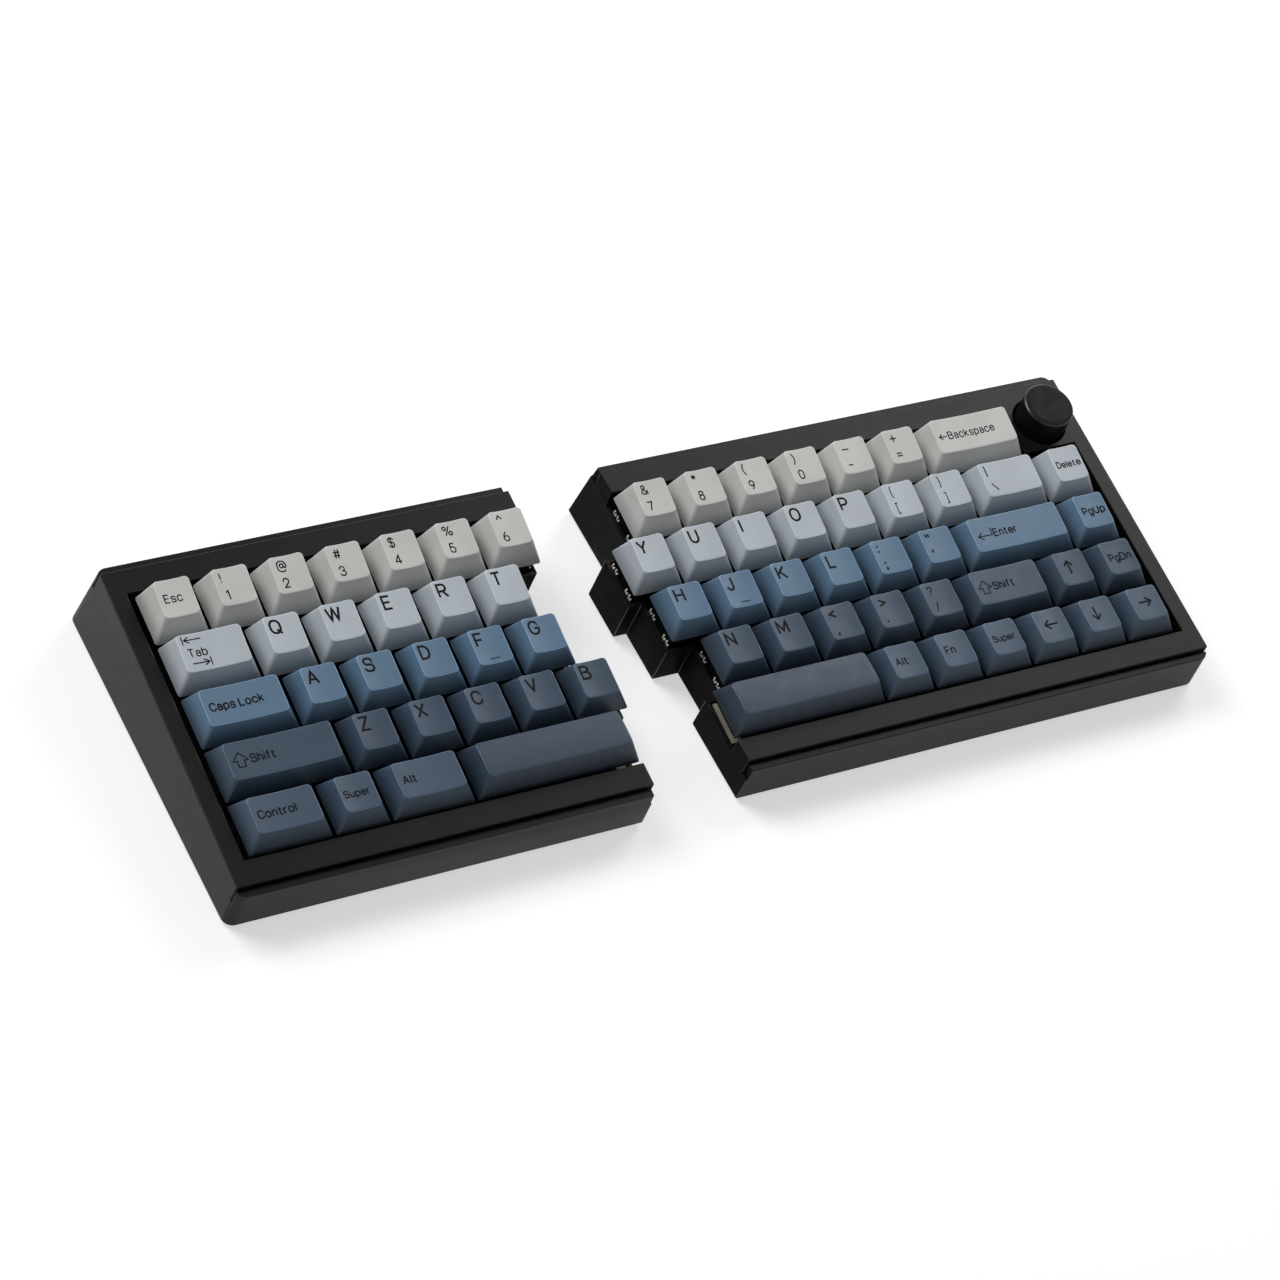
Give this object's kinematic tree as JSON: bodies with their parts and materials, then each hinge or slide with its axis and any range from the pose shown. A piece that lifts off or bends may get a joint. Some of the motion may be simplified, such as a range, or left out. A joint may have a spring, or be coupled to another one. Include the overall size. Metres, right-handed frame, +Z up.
{
  "type": "ergonomic split keyboard",
  "caption": "Compact mechanical keyboard split into two free-standing wedge-shaped halves, with sprung keys in stepped rows and a volume knob at the back right corner.",
  "frame": {"origin": "on the desk, under the middle of the pair's overall box", "axes": "+X along the rows towards the right half, +Y towards the back, +Z up off the desk"},
  "size_m": [0.357, 0.124, 0.0386],
  "materials": {
    "case": "satin, black",
    "plate": "matte, dark",
    "board": "satin lacquer",
    "switch_housing": "smooth, dark",
    "stabiliser": "matte",
    "gasket": "matte foam",
    "pad": "matte, pale",
    "socket_metal": "plated",
    "foot_rubber": "matte",
    "encoder": "matte",
    "knob": "satin, black, bright chamfer",
    "cap_row_1": "fine-grained matte",
    "cap_row_2": "fine-grained matte",
    "cap_row_3": "fine-grained matte",
    "cap_row_4": "fine-grained matte",
    "cap_row_5": "fine-grained matte"
  },
  "bodies": {
    "left_half": {"left_bottom_case": "case", "left_top_frame": "case", "left_switch_plate": "plate", "left_circuit_board": "board", "left_switches": "switch_housing", "left_stabilisers": "stabiliser", "left_gaskets": "gasket", "left_edge_pad": "pad", "left_sockets": "socket_metal", "left_feet": "foot_rubber"},
    "key_escape": {"key_escape": "cap_row_1"},
    "keys_1_2_3": {"keys_1_2_3": "cap_row_1"},
    "keys_4_5_6": {"keys_4_5_6": "cap_row_1"},
    "key_tab": {"key_tab": "cap_row_2"},
    "keys_q_w_e": {"keys_q_w_e": "cap_row_2"},
    "keys_r_t": {"keys_r_t": "cap_row_2"},
    "key_caps_lock": {"key_caps_lock": "cap_row_3"},
    "keys_a_s_d": {"keys_a_s_d": "cap_row_3"},
    "keys_f_g": {"keys_f_g": "cap_row_3"},
    "key_left_shift": {"key_left_shift": "cap_row_4"},
    "keys_z_x_c": {"keys_z_x_c": "cap_row_4"},
    "keys_v_b": {"keys_v_b": "cap_row_4"},
    "key_control": {"key_control": "cap_row_5"},
    "key_system": {"key_system": "cap_row_5"},
    "key_alt": {"key_alt": "cap_row_5"},
    "key_left_space": {"key_left_space": "cap_row_5"},
    "right_half": {"right_bottom_case": "case", "right_top_frame": "case", "right_switch_plate": "plate", "right_circuit_board": "board", "right_switches": "switch_housing", "right_stabilisers": "stabiliser", "right_gaskets": "gasket", "right_edge_pad": "pad", "right_sockets": "socket_metal", "right_feet": "foot_rubber", "knob_encoder": "encoder"},
    "keys_7_8_9": {"keys_7_8_9": "cap_row_1"},
    "keys_0_minus_equals": {"keys_0_minus_equals": "cap_row_1"},
    "key_backspace": {"key_backspace": "cap_row_1"},
    "keys_y_u_i": {"keys_y_u_i": "cap_row_2"},
    "keys_o_p": {"keys_o_p": "cap_row_2"},
    "keys_brackets": {"keys_brackets": "cap_row_2"},
    "key_backslash": {"key_backslash": "cap_row_2"},
    "key_delete": {"key_delete": "cap_row_2"},
    "keys_h_j_k": {"keys_h_j_k": "cap_row_3"},
    "keys_l_semicolon_quote": {"keys_l_semicolon_quote": "cap_row_3"},
    "key_enter": {"key_enter": "cap_row_3"},
    "key_page_up": {"key_page_up": "cap_row_3"},
    "keys_n_m": {"keys_n_m": "cap_row_4"},
    "keys_comma_period_slash": {"keys_comma_period_slash": "cap_row_4"},
    "key_right_shift": {"key_right_shift": "cap_row_4"},
    "key_arrow_up": {"key_arrow_up": "cap_row_4"},
    "key_page_down": {"key_page_down": "cap_row_4"},
    "key_right_space": {"key_right_space": "cap_row_5"},
    "keys_right_modifiers": {"keys_right_modifiers": "cap_row_5"},
    "key_arrow_left": {"key_arrow_left": "cap_row_5"},
    "key_arrow_down": {"key_arrow_down": "cap_row_5"},
    "key_arrow_right": {"key_arrow_right": "cap_row_5"},
    "knob": {"volume_knob": "knob"}
  },
  "joints": [
    {"name": "key_escape_press", "type": "slide", "parent": "left_half", "child": "key_escape", "axis": [0, 0.0993, -0.9951], "range_m": [0, 0.004], "stiffness_N_per_m": 75, "springref_m": -0.004},
    {"name": "keys_1_2_3_press", "type": "slide", "parent": "left_half", "child": "keys_1_2_3", "axis": [0, 0.0993, -0.9951], "range_m": [0, 0.004], "stiffness_N_per_m": 225, "springref_m": -0.004},
    {"name": "keys_4_5_6_press", "type": "slide", "parent": "left_half", "child": "keys_4_5_6", "axis": [0, 0.0993, -0.9951], "range_m": [0, 0.004], "stiffness_N_per_m": 225, "springref_m": -0.004},
    {"name": "key_tab_press", "type": "slide", "parent": "left_half", "child": "key_tab", "axis": [0, 0.0993, -0.9951], "range_m": [0, 0.004], "stiffness_N_per_m": 75, "springref_m": -0.004},
    {"name": "keys_q_w_e_press", "type": "slide", "parent": "left_half", "child": "keys_q_w_e", "axis": [0, 0.0993, -0.9951], "range_m": [0, 0.004], "stiffness_N_per_m": 225, "springref_m": -0.004},
    {"name": "keys_r_t_press", "type": "slide", "parent": "left_half", "child": "keys_r_t", "axis": [0, 0.0993, -0.9951], "range_m": [0, 0.004], "stiffness_N_per_m": 150, "springref_m": -0.004},
    {"name": "key_caps_lock_press", "type": "slide", "parent": "left_half", "child": "key_caps_lock", "axis": [0, 0.0993, -0.9951], "range_m": [0, 0.004], "stiffness_N_per_m": 75, "springref_m": -0.004},
    {"name": "keys_a_s_d_press", "type": "slide", "parent": "left_half", "child": "keys_a_s_d", "axis": [0, 0.0993, -0.9951], "range_m": [0, 0.004], "stiffness_N_per_m": 225, "springref_m": -0.004},
    {"name": "keys_f_g_press", "type": "slide", "parent": "left_half", "child": "keys_f_g", "axis": [0, 0.0993, -0.9951], "range_m": [0, 0.004], "stiffness_N_per_m": 150, "springref_m": -0.004},
    {"name": "key_left_shift_press", "type": "slide", "parent": "left_half", "child": "key_left_shift", "axis": [0, 0.0993, -0.9951], "range_m": [0, 0.004], "stiffness_N_per_m": 75, "springref_m": -0.004},
    {"name": "keys_z_x_c_press", "type": "slide", "parent": "left_half", "child": "keys_z_x_c", "axis": [0, 0.0993, -0.9951], "range_m": [0, 0.004], "stiffness_N_per_m": 225, "springref_m": -0.004},
    {"name": "keys_v_b_press", "type": "slide", "parent": "left_half", "child": "keys_v_b", "axis": [0, 0.0993, -0.9951], "range_m": [0, 0.004], "stiffness_N_per_m": 150, "springref_m": -0.004},
    {"name": "key_control_press", "type": "slide", "parent": "left_half", "child": "key_control", "axis": [0, 0.0993, -0.9951], "range_m": [0, 0.004], "stiffness_N_per_m": 75, "springref_m": -0.004},
    {"name": "key_system_press", "type": "slide", "parent": "left_half", "child": "key_system", "axis": [0, 0.0993, -0.9951], "range_m": [0, 0.004], "stiffness_N_per_m": 75, "springref_m": -0.004},
    {"name": "key_alt_press", "type": "slide", "parent": "left_half", "child": "key_alt", "axis": [0, 0.0993, -0.9951], "range_m": [0, 0.004], "stiffness_N_per_m": 75, "springref_m": -0.004},
    {"name": "key_left_space_press", "type": "slide", "parent": "left_half", "child": "key_left_space", "axis": [0, 0.0993, -0.9951], "range_m": [0, 0.004], "stiffness_N_per_m": 75, "springref_m": -0.004},
    {"name": "split_slide", "type": "slide", "parent": "left_half", "child": "right_half", "axis": [1, 0, 0], "range_m": [-0.0335, 0.15]},
    {"name": "keys_7_8_9_press", "type": "slide", "parent": "right_half", "child": "keys_7_8_9", "axis": [0, 0.0993, -0.9951], "range_m": [0, 0.004], "stiffness_N_per_m": 225, "springref_m": -0.004},
    {"name": "keys_0_minus_equals_press", "type": "slide", "parent": "right_half", "child": "keys_0_minus_equals", "axis": [0, 0.0993, -0.9951], "range_m": [0, 0.004], "stiffness_N_per_m": 225, "springref_m": -0.004},
    {"name": "key_backspace_press", "type": "slide", "parent": "right_half", "child": "key_backspace", "axis": [0, 0.0993, -0.9951], "range_m": [0, 0.004], "stiffness_N_per_m": 75, "springref_m": -0.004},
    {"name": "keys_y_u_i_press", "type": "slide", "parent": "right_half", "child": "keys_y_u_i", "axis": [0, 0.0993, -0.9951], "range_m": [0, 0.004], "stiffness_N_per_m": 225, "springref_m": -0.004},
    {"name": "keys_o_p_press", "type": "slide", "parent": "right_half", "child": "keys_o_p", "axis": [0, 0.0993, -0.9951], "range_m": [0, 0.004], "stiffness_N_per_m": 150, "springref_m": -0.004},
    {"name": "keys_brackets_press", "type": "slide", "parent": "right_half", "child": "keys_brackets", "axis": [0, 0.0993, -0.9951], "range_m": [0, 0.004], "stiffness_N_per_m": 150, "springref_m": -0.004},
    {"name": "key_backslash_press", "type": "slide", "parent": "right_half", "child": "key_backslash", "axis": [0, 0.0993, -0.9951], "range_m": [0, 0.004], "stiffness_N_per_m": 75, "springref_m": -0.004},
    {"name": "key_delete_press", "type": "slide", "parent": "right_half", "child": "key_delete", "axis": [0, 0.0993, -0.9951], "range_m": [0, 0.004], "stiffness_N_per_m": 75, "springref_m": -0.004},
    {"name": "keys_h_j_k_press", "type": "slide", "parent": "right_half", "child": "keys_h_j_k", "axis": [0, 0.0993, -0.9951], "range_m": [0, 0.004], "stiffness_N_per_m": 225, "springref_m": -0.004},
    {"name": "keys_l_semicolon_quote_press", "type": "slide", "parent": "right_half", "child": "keys_l_semicolon_quote", "axis": [0, 0.0993, -0.9951], "range_m": [0, 0.004], "stiffness_N_per_m": 225, "springref_m": -0.004},
    {"name": "key_enter_press", "type": "slide", "parent": "right_half", "child": "key_enter", "axis": [0, 0.0993, -0.9951], "range_m": [0, 0.004], "stiffness_N_per_m": 75, "springref_m": -0.004},
    {"name": "key_page_up_press", "type": "slide", "parent": "right_half", "child": "key_page_up", "axis": [0, 0.0993, -0.9951], "range_m": [0, 0.004], "stiffness_N_per_m": 75, "springref_m": -0.004},
    {"name": "keys_n_m_press", "type": "slide", "parent": "right_half", "child": "keys_n_m", "axis": [0, 0.0993, -0.9951], "range_m": [0, 0.004], "stiffness_N_per_m": 150, "springref_m": -0.004},
    {"name": "keys_comma_period_slash_press", "type": "slide", "parent": "right_half", "child": "keys_comma_period_slash", "axis": [0, 0.0993, -0.9951], "range_m": [0, 0.004], "stiffness_N_per_m": 225, "springref_m": -0.004},
    {"name": "key_right_shift_press", "type": "slide", "parent": "right_half", "child": "key_right_shift", "axis": [0, 0.0993, -0.9951], "range_m": [0, 0.004], "stiffness_N_per_m": 75, "springref_m": -0.004},
    {"name": "key_arrow_up_press", "type": "slide", "parent": "right_half", "child": "key_arrow_up", "axis": [0, 0.0993, -0.9951], "range_m": [0, 0.004], "stiffness_N_per_m": 75, "springref_m": -0.004},
    {"name": "key_page_down_press", "type": "slide", "parent": "right_half", "child": "key_page_down", "axis": [0, 0.0993, -0.9951], "range_m": [0, 0.004], "stiffness_N_per_m": 75, "springref_m": -0.004},
    {"name": "key_right_space_press", "type": "slide", "parent": "right_half", "child": "key_right_space", "axis": [0, 0.0993, -0.9951], "range_m": [0, 0.004], "stiffness_N_per_m": 75, "springref_m": -0.004},
    {"name": "keys_right_modifiers_press", "type": "slide", "parent": "right_half", "child": "keys_right_modifiers", "axis": [0, 0.0993, -0.9951], "range_m": [0, 0.004], "stiffness_N_per_m": 225, "springref_m": -0.004},
    {"name": "key_arrow_left_press", "type": "slide", "parent": "right_half", "child": "key_arrow_left", "axis": [0, 0.0993, -0.9951], "range_m": [0, 0.004], "stiffness_N_per_m": 75, "springref_m": -0.004},
    {"name": "key_arrow_down_press", "type": "slide", "parent": "right_half", "child": "key_arrow_down", "axis": [0, 0.0993, -0.9951], "range_m": [0, 0.004], "stiffness_N_per_m": 75, "springref_m": -0.004},
    {"name": "key_arrow_right_press", "type": "slide", "parent": "right_half", "child": "key_arrow_right", "axis": [0, 0.0993, -0.9951], "range_m": [0, 0.004], "stiffness_N_per_m": 75, "springref_m": -0.004},
    {"name": "knob_turn", "type": "hinge", "parent": "right_half", "child": "knob", "pos_m": [0.16235, 0.03773, 0.03188], "axis": [0, -0.0993, 0.9951], "continuous": true}
  ]
}
